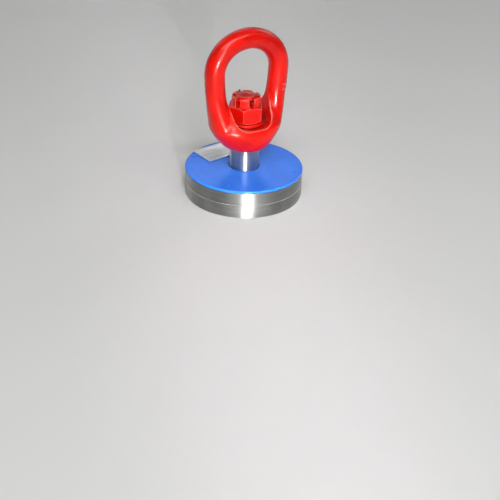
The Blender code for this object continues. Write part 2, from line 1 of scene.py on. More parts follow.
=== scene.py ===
"""Looks of the permanent lifting magnet: fine meshes, finishes, light and camera around the CAD frame.

Metres, +Z up, in the frame of the CAD model: the origin is the centre of the work face.
Sizes that the frame holds are read from it. The others are the CAD model's own, except where a comment
says that they are drawn only here.
"""
from math import atan2, copysign, cos, exp, pi, radians, sin, tan

import bmesh
import bpy
import numpy as np
from mathutils import Matrix, Vector, noise


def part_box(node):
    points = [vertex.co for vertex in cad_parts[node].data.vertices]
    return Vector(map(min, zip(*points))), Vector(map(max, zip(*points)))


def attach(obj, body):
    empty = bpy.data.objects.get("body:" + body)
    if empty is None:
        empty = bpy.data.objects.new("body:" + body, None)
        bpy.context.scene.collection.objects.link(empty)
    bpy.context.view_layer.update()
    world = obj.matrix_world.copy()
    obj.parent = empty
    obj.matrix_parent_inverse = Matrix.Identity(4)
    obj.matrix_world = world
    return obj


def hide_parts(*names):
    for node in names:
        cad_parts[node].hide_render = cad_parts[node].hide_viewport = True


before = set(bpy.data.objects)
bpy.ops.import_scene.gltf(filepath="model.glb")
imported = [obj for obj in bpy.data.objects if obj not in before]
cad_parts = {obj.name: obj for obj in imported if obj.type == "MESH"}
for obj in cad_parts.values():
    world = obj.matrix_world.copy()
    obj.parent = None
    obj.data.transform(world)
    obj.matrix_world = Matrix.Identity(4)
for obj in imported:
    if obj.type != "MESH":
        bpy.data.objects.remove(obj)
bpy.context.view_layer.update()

MM = 0.001
CLEAR = 0.3 * MM

# Read from the frame
BODY_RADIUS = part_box("pole_ring")[1].x
POLE_RING_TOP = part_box("pole_ring")[1].z
PARTING_Z, YOKE_TOP = (corner.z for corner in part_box("yoke_plate"))
COVER_LOW, COVER_TOP = (corner.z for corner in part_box("top_cover"))
POLE_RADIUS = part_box("centre_pole")[1].x
POLE_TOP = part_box("centre_pole")[1].z
GAP_RING_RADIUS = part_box("gap_ring")[1].x
GAP_RING_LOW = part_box("gap_ring")[0].z
STEM_FLANGE_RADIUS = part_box("stem")[1].x
STUD_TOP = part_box("stem")[1].z
BOSS_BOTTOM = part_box("swivel_eye")[0].z
WASHER_LOW, WASHER_TOP = (corner.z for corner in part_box("thrust_washer"))
WASHER_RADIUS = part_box("thrust_washer")[1].x
NUT_BOTTOM, NUT_TOP = (corner.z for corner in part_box("castle_nut"))
PLATE_LOW, PLATE_TOP = (corner.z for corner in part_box("rating_plate"))

# Magnet body
COVER_EDGE_RADIUS = 1.8 * MM
COVER_HOLE_RADIUS = 16.5 * MM
YOKE_RADIUS = BODY_RADIUS - 0.15 * MM     # drawn only here, to show the parting line
SEAM_CHAMFER = 0.28 * MM                  # drawn only here, for the same line
FOOT_CHAMFER = 0.8 * MM
COVER_SCREW_CIRCLE = 54.6 * MM
COVER_SCREW_RADIUS = 1.5 * MM
COVER_SCREW_LOW = 19.6 * MM
COVER_THREAD_LOW = 19.0 * MM
COVER_HEAD_RADIUS = 2.9 * MM
COVER_HEAD_TOP = 30.3 * MM
COVER_HEAD_LOW = 28.7 * MM
COVER_SINK_LOW = 30.1 * MM
COVER_SOCKET_LOW = 29.2 * MM
COVER_SOCKET_RADIUS = 1.1 * MM
BODY_SCREW_CIRCLE = 55.5 * MM
BODY_SCREW_RADIUS = 2.5 * MM
BODY_HEAD_RADIUS = 4.25 * MM
BODY_HEAD_SEAT = 20.7 * MM
BODY_THREAD_LOW = 4.0 * MM
POLE_SCREW_CIRCLE = 38.0 * MM
POLE_SCREW_RADIUS = 2.5 * MM
POLE_SCREW_TOP = 24.0 * MM
POLE_THREAD_TOP = 25.0 * MM
POLE_HEAD_RADIUS = 5.0 * MM
POLE_HEAD_FACE = 0.4 * MM
POLE_HEAD_TOP = 3.2 * MM
POLE_SINK_LOW = 0.7 * MM
POLE_SOCKET_TOP = 2.4 * MM
POLE_SOCKET_RADIUS = 1.75 * MM
SEAL_CIRCLE = 50.8 * MM
SEAL_GROOVE_HALF = 0.9 * MM
SEAL_GROOVE_DEPTH = 1.7 * MM
STEM_SEAL_Z = 23.8 * MM
STEM_SEAL_HALF = 1.2 * MM
STEM_SEAL_DEPTH = 2.5 * MM

# Stem and stud
STEM_RADIUS = 15.5 * MM
STEM_FLANGE_TOP = 20.0 * MM
SHOULDER_Z = 54.0 * MM
STUD_RADIUS = 11.0 * MM
THREAD_PITCH = 2.5 * MM
THREAD_DEPTH = 1.2 * MM
THREAD_LOW = 84.0 * MM
THREAD_CREST = 0.12        # share of half a pitch at full radius
THREAD_FLANK = 0.7         # share of half a pitch that slopes

# Swivel eye
BOSS_FOOT_RADIUS = 21.0 * MM
BOWL_TOP = 79.5 * MM
SHOULDER_FOOT_Z = 72.0 * MM
SHOULDER_HEAD_Z = 116.0 * MM
SHOULDER_HEAD_DEPTH = 1.0 * MM
BOSS_HALF_WIDTH = 40.0 * MM
BOSS_HALF_DEPTH = 27.6 * MM
BOSS_FLARE = 1.3
BOSS_ROUNDNESS = 2.5
BOSS_SQUARENESS = 0.3
SEAT_Z = 79.5 * MM
SEAT_RADIUS = 21.5 * MM
WINDOW_CORNER = 13.0 * MM
STOCK_RADIUS = 10.25 * MM
RING_HALF_WIDTH = 36.5 * MM
RING_CROWN_Z = 135.0 * MM
RING_CROWN_RISE = 32.5 * MM
LEG_TAPER = 0.8 * MM
LEG_CURVE = 5.6 * MM
LEG_RUN = 50.0 * MM
LEG_FOOT_Z = 79.0 * MM
LEG_SPREAD_Z = 112.0 * MM
LEG_SPREAD_FOOT_Z = 74.0 * MM
LEG_SPREAD_DEPTH = 9.0 * MM
LEG_SPREAD_THICKNESS = 0.8 * MM
BORE_RADIUS = 14.0 * MM

# Swivel eye's surface, drawn only here
DENT_SCALE = 75.0
DENT_RISE = 0.16 * MM
RIPPLE_SCALE = 260.0
RIPPLE_RISE = 0.07 * MM
FLASH_RISE = 0.1 * MM
FLASH_HALF_WIDTH = 0.8 * MM
WEAR_MARK_Z = (112.0 * MM, 118.0 * MM)
WEAR_MARK_SIDE = radians(-62.0)
WEAR_MARK_RISE = 0.5 * MM
WEAR_MARK_HALF_ANGLE = 0.45
WEAR_MARK_HALF_HEIGHT = 0.65 * MM

# Castle nut and split pin
NUT_ACROSS_FLATS = 34.0 * MM
NUT_HEX_TOP = 99.7 * MM
NUT_CROWN_RADIUS = 15.0 * MM
NUT_SLOT_WIDTH = 5.6 * MM
NUT_TURN = radians(-96.0)
PIN_Z = 103.6 * MM
PIN_WIRE = 1.1 * MM
PIN_HALF_PITCH = 1.2 * MM
PIN_LOOP_RADIUS = 2.3 * MM
PIN_HOLE_RADIUS = 2.8 * MM

# Rating plate
PLATE_LENGTH = 56.0 * MM
PLATE_WIDTH = 31.0 * MM
PLATE_CIRCLE = 39.6 * MM
PLATE_ANGLE = radians(98.0)
PLATE_BORDER = 1.8 * MM
PLATE_FIELD_DEPTH = 0.25 * MM

# How finely round things are drawn
BIG_STEPS = 224
MID_STEPS = 128
SMALL_STEPS = 48
ARC_STEPS = 6


# ---------------------------------------------------------------- mesh helpers

def add_mesh(name, verts, faces):
    mesh = bpy.data.meshes.new(name)
    mesh.from_pydata(verts, [], faces)
    bm = bmesh.new()
    bm.from_mesh(mesh)
    bmesh.ops.remove_doubles(bm, verts=bm.verts, dist=1e-7)
    bmesh.ops.recalc_face_normals(bm, faces=bm.faces)
    bm.to_mesh(mesh)
    bm.free()
    obj = bpy.data.objects.new(name, mesh)
    bpy.context.scene.collection.objects.link(obj)
    return obj


def shade_round(obj, sharp_degrees=40.0):
    obj.data.shade_smooth()
    obj.data.set_sharp_from_angle(angle=radians(sharp_degrees))


def work_in(obj):
    """Works the object's modifiers into its mesh."""
    graph = bpy.context.evaluated_depsgraph_get()
    mesh = bpy.data.meshes.new_from_object(obj.evaluated_get(graph))
    obj.modifiers.clear()
    obj.data = mesh


def cut(obj, cutter, operation="DIFFERENCE"):
    step = obj.modifiers.new("cut", "BOOLEAN")
    step.operation = operation
    step.solver = "EXACT"
    step.object = cutter
    work_in(obj)
    bpy.data.objects.remove(cutter, do_unlink=True)


def remesh(obj, voxel):
    step = obj.modifiers.new("remesh", "REMESH")
    step.mode = "VOXEL"
    step.voxel_size = voxel
    work_in(obj)


def relax(obj, repeats, weight_of=None):
    """Smooths the mesh, by weight_of(place) where that is given."""
    step = obj.modifiers.new("relax", "SMOOTH")
    step.factor = 0.5
    step.iterations = repeats
    if weight_of:
        group = obj.vertex_groups.new(name="relax")
        for vert in obj.data.vertices:
            group.add([vert.index], weight_of(vert.co), "REPLACE")
        step.vertex_group = group.name
    work_in(obj)
    obj.vertex_groups.clear()


def arc(centre, radius, start, end, steps):
    """Points of an arc in a plane; angles in degrees."""
    points = []
    for i in range(steps + 1):
        angle = radians(start + (end - start) * i / steps)
        points.append((centre[0] + radius * cos(angle), centre[1] + radius * sin(angle)))
    return points


def filleted(corners, closed=True):
    """(radius, height, fillet) corners as points: an arc at each fillet, and a point near each end of a
    long straight."""
    count = len(corners)
    rounded = []
    for i, (radius, height, fillet) in enumerate(corners):
        here = Vector((radius, height))
        if fillet == 0.0 or (not closed and i in (0, count - 1)):
            rounded.append([here])
            continue
        before = (Vector(corners[i - 1][:2]) - here).normalized()
        after = (Vector(corners[(i + 1) % count][:2]) - here).normalized()
        half = before.angle(after) / 2.0
        centre = here + (before + after).normalized() * fillet / sin(half)
        start = here + before * fillet / tan(half) - centre
        end = here + after * fillet / tan(half) - centre
        turn = start.angle_signed(end)
        rounded.append([centre + Matrix.Rotation(-turn * k / ARC_STEPS, 2) @ start
                        for k in range(ARC_STEPS + 1)])
    points = []
    support = 0.35 * MM
    for i, group in enumerate(rounded):
        points += group
        if i + 1 < count or closed:
            following = rounded[(i + 1) % count][0]
            run = following - group[-1]
            if run.length > 4.0 * support:
                points.append(group[-1] + run.normalized() * support)
                points.append(following - run.normalized() * support)
    return [(p[0], p[1]) for p in points]


def turned(name, outline, steps=MID_STEPS, closed=True, shape=None):
    """Turns (radius, height) points about Z. An open outline starts and ends on the axis.
    shape(angle, radius, height) may change a point's radius."""
    rows = len(outline)
    angles = [2.0 * pi * k / steps for k in range(steps)]
    verts = []
    for radius, height in outline:
        for angle in angles:
            reach = shape(angle, radius, height) if shape else radius
            verts.append((reach * cos(angle), reach * sin(angle), height))
    faces = []
    for i in range(rows if closed else rows - 1):
        j = (i + 1) % rows
        for k in range(steps):
            m = (k + 1) % steps
            faces.append((i * steps + k, j * steps + k, j * steps + m, i * steps + m))
    obj = add_mesh(name, verts, faces)
    shade_round(obj)
    return obj


def loft(name, rings):
    """A closed skin over rings of points, with flat ends."""
    sides = len(rings[0])
    verts = [tuple(point) for ring in rings for point in ring]
    faces = []
    for i in range(len(rings) - 1):
        for k in range(sides):
            m = (k + 1) % sides
            faces.append((i * sides + k, i * sides + m, (i + 1) * sides + m, (i + 1) * sides + k))
    last = (len(rings) - 1) * sides
    faces.append(tuple(range(sides)))
    faces.append(tuple(range(last, last + sides)))
    return add_mesh(name, verts, faces)


def on_circle(radius, count, first=0.0):
    step = 2.0 * pi / count
    return [(radius * cos(first + i * step), radius * sin(first + i * step)) for i in range(count)]


def drill(obj, places, outline, steps=SMALL_STEPS):
    """Cuts the same turned hole at each place."""
    tool = turned("drill", outline, steps, closed=False)
    bm = bmesh.new()
    for x, y in places:
        tool.data.transform(Matrix.Translation((x, y, 0.0)))
        bm.from_mesh(tool.data)
        tool.data.transform(Matrix.Translation((-x, -y, 0.0)))
    bm.to_mesh(tool.data)
    bm.free()
    cut(obj, tool)
    shade_round(obj)


def straight_hole(radius, low, high):
    return [(0.0, high), (radius, high), (radius, low), (0.0, low)]


# ------------------------------------------------------------------- materials

def new_finish(name, **values):
    """A material whose shader has these constant values."""
    mat = bpy.data.materials.new(name)
    mat.use_nodes = True
    tree = mat.node_tree
    shader = tree.nodes["Principled BSDF"]
    for socket, value in values.items():
        shader.inputs[socket.replace("_", " ")].default_value = value
    return mat, tree, shader


def add_node(tree, kind, inputs=None, **settings):
    node = tree.nodes.new("ShaderNode" + kind)
    for name, value in settings.items():
        setattr(node, name, value)
    for socket, value in (inputs or {}).items():
        if isinstance(value, bpy.types.NodeSocket):
            tree.links.new(value, node.inputs[socket])
        else:
            node.inputs[socket].default_value = value
    return node


def add_noise(tree, vector, scale, detail=3.0, roughness=0.5):
    return add_node(tree, "TexNoise", {"Vector": vector, "Scale": scale, "Detail": detail,
                                       "Roughness": roughness}).outputs["Fac"]


def add_range(tree, value, low, high, new_low, new_high):
    node = add_node(tree, "MapRange", {"Value": value, "From Min": low, "From Max": high,
                                       "To Min": new_low, "To Max": new_high})
    return node.outputs["Result"]


def add_mix(tree, factor, first, second, blend="MIX"):
    """Mixes two colours; either may be a socket."""
    node = tree.nodes.new("ShaderNodeMix")
    node.data_type = "RGBA"
    node.blend_type = blend
    for index, value in ((0, factor), (6, first), (7, second)):
        if isinstance(value, bpy.types.NodeSocket):
            tree.links.new(value, node.inputs[index])
        elif index == 0:
            node.inputs[index].default_value = value
        else:
            node.inputs[index].default_value = (*value, 1.0)
    return node.outputs[2]


def add_math(tree, operation, first, second=0.0):
    node = tree.nodes.new("ShaderNodeMath")
    node.operation = operation
    for index, value in enumerate((first, second)):
        if isinstance(value, bpy.types.NodeSocket):
            tree.links.new(value, node.inputs[index])
        else:
            node.inputs[index].default_value = value
    return node.outputs[0]


def add_bump(tree, height, distance, strength=1.0, normal=None):
    inputs = {"Height": height, "Distance": distance, "Strength": strength}
    if normal:
        inputs["Normal"] = normal
    return add_node(tree, "Bump", inputs).outputs["Normal"]


def object_place(tree):
    return add_node(tree, "TexCoord").outputs["Object"]


def turning_place(tree, along, across):
    """A vector that runs quickly up a turned wall or out over a turned face, and slowly round it."""
    split = add_node(tree, "SeparateXYZ", {"Vector": object_place(tree)})
    flat = add_node(tree, "CombineXYZ", {"X": split.outputs["X"], "Y": split.outputs["Y"]})
    radius = add_node(tree, "VectorMath", {0: flat.outputs[0]}, operation="LENGTH").outputs["Value"]
    travel = add_math(tree, "ADD", radius, split.outputs["Z"])
    joined = add_node(tree, "CombineXYZ", {
        "X": add_math(tree, "MULTIPLY", split.outputs["X"], along),
        "Y": add_math(tree, "MULTIPLY", split.outputs["Y"], along),
        "Z": add_math(tree, "MULTIPLY", travel, across)})
    return joined.outputs[0]


def gloss_paint(name, deep, bright, worn, edge_highlight, sheen, peel=0.05 * MM):
    """Thick gloss enamel: slow changes of tone, an orange-peel skin, a few scuffs, chips worn through to
    primer on raised edges, and a painted highlight: a lighter colour along raised edges.
    """
    primer = (0.16, 0.13, 0.12)
    mat, tree, shader = new_finish(name, Coat_Weight=0.32, Coat_Roughness=0.16, Coat_IOR=1.5, IOR=1.45,
                                   Specular_IOR_Level=0.6, Specular_Tint=(*sheen, 1.0))
    place = object_place(tree)
    tone = add_range(tree, add_noise(tree, place, 45.0, 4.0), 0.3, 0.7, 0.0, 1.0)
    colour = add_mix(tree, tone, deep, bright)
    grime = add_range(tree, add_noise(tree, place, 160.0, 6.0, 0.7), 0.66, 0.85, 0.0, 0.35)
    colour = add_mix(tree, grime, colour, worn)
    edge = add_node(tree, "Attribute", attribute_name="edge").outputs["Fac"]
    # Painted highlight: raised edges (the edge attribute) are mixed toward a lighter colour.
    colour = add_mix(tree, add_range(tree, edge, 0.15, 1.0, 0.0, 0.42), colour, edge_highlight)
    chips = add_noise(tree, place, 420.0, 4.0, 0.65)
    chipped = add_range(tree, add_math(tree, "MULTIPLY", edge, chips), 0.42, 0.5, 0.0, 1.0)
    colour = add_mix(tree, chipped, colour, primer)
    tree.links.new(colour, shader.inputs["Base Color"])
    scuffs = add_noise(tree, place, 240.0, 5.0, 0.6)
    tree.links.new(add_range(tree, scuffs, 0.3, 0.75, 0.27, 0.44), shader.inputs["Roughness"])
    skin = add_bump(tree, add_noise(tree, place, 650.0, 2.0), peel)
    skin = add_bump(tree, add_noise(tree, place, 110.0, 2.0), 4.0 * peel, normal=skin)
    skin = add_bump(tree, add_math(tree, "MULTIPLY", chipped, -1.0), 2.0 * peel, normal=skin)
    tree.links.new(skin, shader.inputs["Normal"])
    tree.links.new(skin, shader.inputs["Coat Normal"])
    return mat


def turned_steel(name, tone, smooth, rough, stretch, groove):
    """Lathe-turned steel: fine rings, slow bands of tone, small marks, and a highlight drawn out across
    the rings."""
    mat, tree, shader = new_finish(name, Metallic=1.0, Anisotropic=stretch, Anisotropic_Rotation=0.25)
    fine = add_noise(tree, turning_place(tree, 4.0, 2600.0), 1.0, 2.0)
    bands = add_noise(tree, turning_place(tree, 14.0, 260.0), 1.0, 4.0)
    blotches = add_noise(tree, object_place(tree), 90.0, 5.0, 0.6)
    dark = tuple(0.72 * c for c in tone)
    stain = tuple(c * t for c, t in zip(tone, (0.62, 0.57, 0.5)))
    colour = add_mix(tree, add_range(tree, bands, 0.3, 0.7, 0.0, 1.0), dark, tone)
    stained = add_range(tree, blotches, 0.56, 0.78, 0.0, 0.45)
    colour = add_mix(tree, stained, colour, stain)
    tree.links.new(colour, shader.inputs["Base Color"])
    mixed = add_math(tree, "ADD", add_math(tree, "MULTIPLY", bands, 0.6),
                     add_math(tree, "MULTIPLY", blotches, 0.4))
    tree.links.new(add_range(tree, mixed, 0.3, 0.7, smooth, rough), shader.inputs["Roughness"])
    skin = add_bump(tree, fine, groove)
    skin = add_bump(tree, bands, 2.0 * groove, normal=skin)
    tree.links.new(skin, shader.inputs["Normal"])
    tangent = add_node(tree, "Tangent", direction_type="RADIAL", axis="Z")
    tree.links.new(tangent.outputs[0], shader.inputs["Tangent"])
    return mat


def plain_metal(name, tone, low, high, scale, metallic=1.0, pit=0.01 * MM):
    """Metal as it comes from plating, blacking or moulding: mottled tone and a faint grain."""
    mat, tree, shader = new_finish(name, Metallic=metallic)
    place = object_place(tree)
    mottle = add_noise(tree, place, scale, 5.0, 0.6)
    dark = tuple(0.7 * c for c in tone)
    tree.links.new(add_mix(tree, add_range(tree, mottle, 0.3, 0.7, 0.0, 1.0), dark, tone),
                   shader.inputs["Base Color"])
    tree.links.new(add_range(tree, mottle, 0.3, 0.7, low, high), shader.inputs["Roughness"])
    grain = add_noise(tree, place, scale * 9.0, 3.0)
    tree.links.new(add_bump(tree, grain, pit), shader.inputs["Normal"])
    return mat


def brushed_plate(name, tone):
    """Rolled aluminium sheet: long hairlines one way, soft bands of shine, and small dull patches."""
    mat, tree, shader = new_finish(name, Metallic=1.0, Anisotropic=0.5)

    def stretched_noise(scale):
        place = add_node(tree, "Mapping", {"Vector": object_place(tree), "Scale": scale}).outputs[0]
        return add_noise(tree, place, 1.0, 3.0)

    lines = stretched_noise((3600.0, 40.0, 900.0))
    bands = stretched_noise((150.0, 22.0, 60.0))
    dull = add_noise(tree, object_place(tree), 130.0, 5.0, 0.65)
    dark = tuple(0.75 * c for c in tone)
    colour = add_mix(tree, add_range(tree, bands, 0.35, 0.65, 0.0, 1.0), dark, tone)
    tree.links.new(colour, shader.inputs["Base Color"])
    tree.links.new(add_range(tree, dull, 0.3, 0.7, 0.3, 0.5), shader.inputs["Roughness"])
    tree.links.new(add_bump(tree, lines, 0.006 * MM), shader.inputs["Normal"])
    return mat


def moulded_rubber(name):
    """Black rubber with a faint grey bloom and a fine grain."""
    black = (0.012, 0.012, 0.013)
    grey = (0.04, 0.04, 0.042)
    mat, tree, shader = new_finish(name)
    place = object_place(tree)
    bloom = add_noise(tree, place, 300.0, 5.0)
    colour = add_mix(tree, add_range(tree, bloom, 0.35, 0.75, 0.0, 1.0), black, grey)
    tree.links.new(colour, shader.inputs["Base Color"])
    tree.links.new(add_range(tree, bloom, 0.3, 0.7, 0.5, 0.75), shader.inputs["Roughness"])
    tree.links.new(add_bump(tree, add_noise(tree, place, 2400.0, 2.0), 0.01 * MM), shader.inputs["Normal"])
    return mat


# The fifth colour of each paint is its painted highlight for raised edges.
RED = gloss_paint("red_enamel", (0.29, 0.0006, 0.0001), (0.45, 0.0028, 0.0005), (0.24, 0.003, 0.0015),
                  (0.90, 0.24, 0.18), (1.0, 0.27, 0.22))
BLUE = gloss_paint("blue_enamel", (0.018, 0.155, 0.74), (0.026, 0.19, 0.84), (0.04, 0.14, 0.55),
                   (0.12, 0.35, 0.95), (0.25, 0.5, 1.0), 0.015 * MM)
BODY_STEEL = turned_steel("turned_steel", (0.50, 0.50, 0.485), 0.40, 0.50, 0.98, 0.004 * MM)
STEM_STEEL = turned_steel("polished_steel", (0.66, 0.66, 0.65), 0.3, 0.38, 0.96, 0.002 * MM)
BLACK_STEEL = plain_metal("blackened_steel", (0.075, 0.075, 0.08), 0.35, 0.55, 260.0, 0.9)
BRASS = plain_metal("brass", (0.80, 0.58, 0.22), 0.22, 0.4, 120.0)
NICKEL = plain_metal("nickel_plate", (0.62, 0.59, 0.53), 0.12, 0.25, 90.0)
CAST_ALUMINIUM = plain_metal("cast_aluminium", (0.72, 0.73, 0.74), 0.35, 0.55, 180.0, pit=0.03 * MM)
# Painted highlight: a lighter, half-metallic finish for the seam chamfer, so the parting line shows as a
# light line.
SEAM_HIGHLIGHT = plain_metal("seam_highlight", (0.72, 0.72, 0.70), 0.3, 0.5, 90.0, 0.5)
PLATE_METAL = brushed_plate("rolled_aluminium", (0.90, 0.91, 0.92))
RUBBER = moulded_rubber("moulded_rubber")


def finish_piece(obj, mat, slot, body, *nodes):
    """Gives a piece its material, and makes it stand for its CAD nodes on their body. The slot argument is
    not used.
    """
    obj.data.materials.clear()
    obj.data.materials.append(mat)
    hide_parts(*nodes)
    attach(obj, body)
    return obj


def vertex_vectors(mesh, what):
    """The mesh's vertex places ("co") or normals ("normal") as rows."""
    values = np.zeros(len(mesh.vertices) * 3)
    mesh.vertices.foreach_get(what, values)
    return values.reshape(-1, 3)


def mark_edges(obj, reach):
    """Writes how far each point stands proud of its neighbours, from 0 to 1, as the attribute edge."""
    mesh = obj.data
    count = len(mesh.vertices)
    place = vertex_vectors(mesh, "co")
    normal = vertex_vectors(mesh, "normal")
    ends = np.zeros(len(mesh.edges) * 2, int)
    mesh.edges.foreach_get("vertices", ends)
    first, second = ends.reshape(-1, 2).T
    near = np.bincount(first, minlength=count) + np.bincount(second, minlength=count)
    around = np.zeros_like(place)
    for axis in range(3):
        around[:, axis] = (np.bincount(first, place[second, axis], count)
                           + np.bincount(second, place[first, axis], count)) / near
    proud = ((place - around) * normal).sum(1)
    for _ in range(3):
        proud = 0.5 * proud + 0.5 * (np.bincount(first, proud[second], count)
                                     + np.bincount(second, proud[first], count)) / near
    edge = mesh.attributes.new("edge", "FLOAT", "POINT")
    edge.data.foreach_set("value", np.clip(proud / reach, 0.0, 1.0).astype(np.float32))


# ------------------------------------------------------------------ swivel eye

def leg_offset(height):
    """How far the stock's centreline stands from the axis, below the ring's crown."""
    run = (RING_CROWN_Z - height) / LEG_RUN
    return RING_HALF_WIDTH - LEG_TAPER * run - LEG_CURVE * run * run


def ring_stations():
    """Places, tangents and half sizes along the eye's stock: up one leg, over, and down the other."""
    leg_steps = 40
    crown_steps = 72
    spread_power = 1.3
    leg = []
    for i in range(leg_steps):
        height = LEG_FOOT_Z + (RING_CROWN_Z - LEG_FOOT_Z) * i / leg_steps
        leg.append((leg_offset(height), height))
    outline = list(leg)
    for i in range(crown_steps + 1):
        angle = pi * i / crown_steps
        outline.append((RING_HALF_WIDTH * cos(angle), RING_CROWN_Z + RING_CROWN_RISE * sin(angle)))
    outline += [(-x, z) for x, z in reversed(leg)]
    path = [Vector((x, 0.0, z)) for x, z in outline]
    stations = []
    for i, place in enumerate(path):
        before = path[max(i - 1, 0)]
        after = path[min(i + 1, len(path) - 1)]
        run = (LEG_SPREAD_Z - place.z) / (LEG_SPREAD_Z - LEG_SPREAD_FOOT_Z)
        spread = min(max(run, 0.0), 1.0) ** spread_power
        thickness = STOCK_RADIUS + LEG_SPREAD_THICKNESS * spread
        depth = STOCK_RADIUS + LEG_SPREAD_DEPTH * spread
        stations.append((place, (after - before).normalized(), thickness, depth))
    return stations


def stock_rings():
    """Oval sections of the stock, square to its run."""
    sides = 72
    rings = []
    for place, tangent, thickness, depth in ring_stations():
        across = Vector((tangent.z, 0.0, -tangent.x))
        ring = []
        for i in range(sides):
            angle = 2.0 * pi * i / sides
            ring.append(place + across * thickness * cos(angle) + Vector((0.0, depth * sin(angle), 0.0)))
        rings.append(ring)
    return rings


def smooth_fall(value, start, end):
    """1 before start, 0 after end, and a cosine slope between them."""
    run = min(max((value - start) / (end - start), 0.0), 1.0)
    return 0.5 + 0.5 * cos(pi * run)


def boss_rings():
    """The bowl from its round foot to its oval rim, and the shoulders that fade into the legs."""
    def bulge(rise, power):
        return (1.0 - (1.0 - rise) ** power) ** (1.0 / power)

    sections = []
    bowl_steps = 40
    closer_at_foot = 1.7
    for i in range(bowl_steps + 1):
        rise = (i / bowl_steps) ** closer_at_foot
        height = BOSS_BOTTOM + (BOWL_TOP - BOSS_BOTTOM) * rise
        half_width = BOSS_FOOT_RADIUS + (BOSS_HALF_WIDTH - BOSS_FOOT_RADIUS) * bulge(rise, BOSS_FLARE)
        half_depth = BOSS_FOOT_RADIUS + (BOSS_HALF_DEPTH - BOSS_FOOT_RADIUS) * bulge(rise, BOSS_ROUNDNESS)
        sections.append((height, half_width, half_depth))
    shoulder_steps = 40
    inside_leg = 0.8 * STOCK_RADIUS
    for i in range(1, shoulder_steps + 1):
        height = BOWL_TOP + (SHOULDER_HEAD_Z - BOWL_TOP) * i / shoulder_steps
        sections.append((height, leg_offset(height) + inside_leg, BOSS_HALF_DEPTH))
    sides = 144
    rings = []
    for height, half_width, half_depth in sections:
        fall = smooth_fall(height, SHOULDER_FOOT_Z, SHOULDER_HEAD_Z)
        depth = SHOULDER_HEAD_DEPTH + (half_depth - SHOULDER_HEAD_DEPTH) * fall
        rise = (height - BOSS_BOTTOM) / (BOWL_TOP - BOSS_BOTTOM)
        power = 2.0 / (2.0 + BOSS_SQUARENESS * min(rise, 1.0))
        ring = []
        for i in range(sides):
            angle = 2.0 * pi * i / sides
            x = half_width * copysign(abs(cos(angle)) ** power, cos(angle))
            y = depth * copysign(abs(sin(angle)) ** power, sin(angle))
            ring.append((x, y, height))
        rings.append(ring)
    return rings


def window_rings():
    """The cutter for the window's foot: the legs' inner faces, rounded corners and the flat seat."""
    def leg_face(height):
        return leg_offset(height) - STOCK_RADIUS

    side = []
    face_steps = 16
    head_z = SHOULDER_HEAD_Z + 2.0 * MM
    corner_z = SEAT_Z + WINDOW_CORNER
    for i in range(face_steps + 1):
        height = head_z - (head_z - corner_z) * i / face_steps
        side.append((leg_face(height), height))
    side += arc((leg_face(corner_z) - WINDOW_CORNER, corner_z), WINDOW_CORNER, 0.0, -90.0, 24)[1:]
    outline = side + [(-x, z) for x, z in reversed(side)]
    reach = 1.5 * BOSS_HALF_DEPTH
    return [[(x, y, z) for x, z in outline] for y in (-reach, reach)]


def join_meshes(obj, other):
    bm = bmesh.new()
    bm.from_mesh(obj.data)
    bm.from_mesh(other.data)
    bm.to_mesh(obj.data)
    bm.free()
    bpy.data.objects.remove(other, do_unlink=True)


def forge(obj):
    """Moves the skin in and out a little, as hammered and painted steel is, with a trimmed flash line
    round the outside of the ring and two raised wear bars on one leg."""
    places = vertex_vectors(obj.data, "co")
    normals = vertex_vectors(obj.data, "normal")
    for i, (x, y, z) in enumerate(places):
        outward = normals[i]
        machined = SEAT_Z - MM < z < SEAT_Z + 0.6 * MM and outward[2] > 0.9
        in_bore = x * x + y * y < (BORE_RADIUS + 1.5 * MM) ** 2 and z < SEAT_Z + MM
        if machined or in_bore:
            continue
        place = Vector((x, y, z))
        lift = DENT_RISE * noise.noise(place * DENT_SCALE) + RIPPLE_RISE * noise.noise(place * RIPPLE_SCALE)
        around = Vector((x, 0.0, z - RING_CROWN_Z)).normalized()
        if z > BOWL_TOP and around.dot(Vector(outward)) > 0.8:
            lift += FLASH_RISE * exp(-(y / FLASH_HALF_WIDTH) ** 2)
        if x > 0.0 and LEG_FOOT_Z < z < RING_CROWN_Z:
            beside = atan2(y, x - leg_offset(z)) - WEAR_MARK_SIDE
            for height in WEAR_MARK_Z:
                above = z - height
                lift += WEAR_MARK_RISE * exp(-(beside / WEAR_MARK_HALF_ANGLE) ** 4
                                             - (above / WEAR_MARK_HALF_HEIGHT) ** 4)
        places[i] += outward * lift
    obj.data.vertices.foreach_set("co", places.ravel())
    obj.data.update()


def make_eye():
    """Boss and stock run together and smoothed, then the window, seat and bore cut, then the skin."""
    blend_voxel = 0.8 * MM
    skin_voxel = 0.55 * MM
    seat_head = RING_CROWN_Z - 15.0 * MM
    eye = loft("eye_forging", boss_rings())
    join_meshes(eye, loft("stock", stock_rings()))
    remesh(eye, blend_voxel)

    def by_the_feet(place):
        low = smooth_fall(place.z, 98.0 * MM, 118.0 * MM)
        return low * (1.0 - smooth_fall(place.z, 60.0 * MM, 68.0 * MM))

    relax(eye, 36, by_the_feet)
    cut(eye, loft("window", window_rings()))
    seat = straight_hole(SEAT_RADIUS, SEAT_Z - CLEAR, seat_head)
    cut(eye, turned("seat", seat, MID_STEPS, closed=False))
    bore = straight_hole(BORE_RADIUS, BOSS_BOTTOM - MM, SEAT_Z + MM)
    cut(eye, turned("bore", bore, MID_STEPS, closed=False))
    remesh(eye, skin_voxel)

    def round_the_rim(place):
        beside = min(abs(place.z - SEAT_Z) / (3.0 * MM), 1.0) if place.z < SEAT_Z else 0.0
        return (1.0 - beside) * smooth_fall(place.z, SHOULDER_HEAD_Z - 6.0 * MM, SHOULDER_HEAD_Z)

    relax(eye, 10, round_the_rim)
    relax(eye, 4)
    forge(eye)
    mark_edges(eye, 0.05 * MM)
    eye.data.shade_smooth()
    finish_piece(eye, RED, "red_paint", "eye", "swivel_eye")


# ------------------------------------------------------------- stem, nut, pin

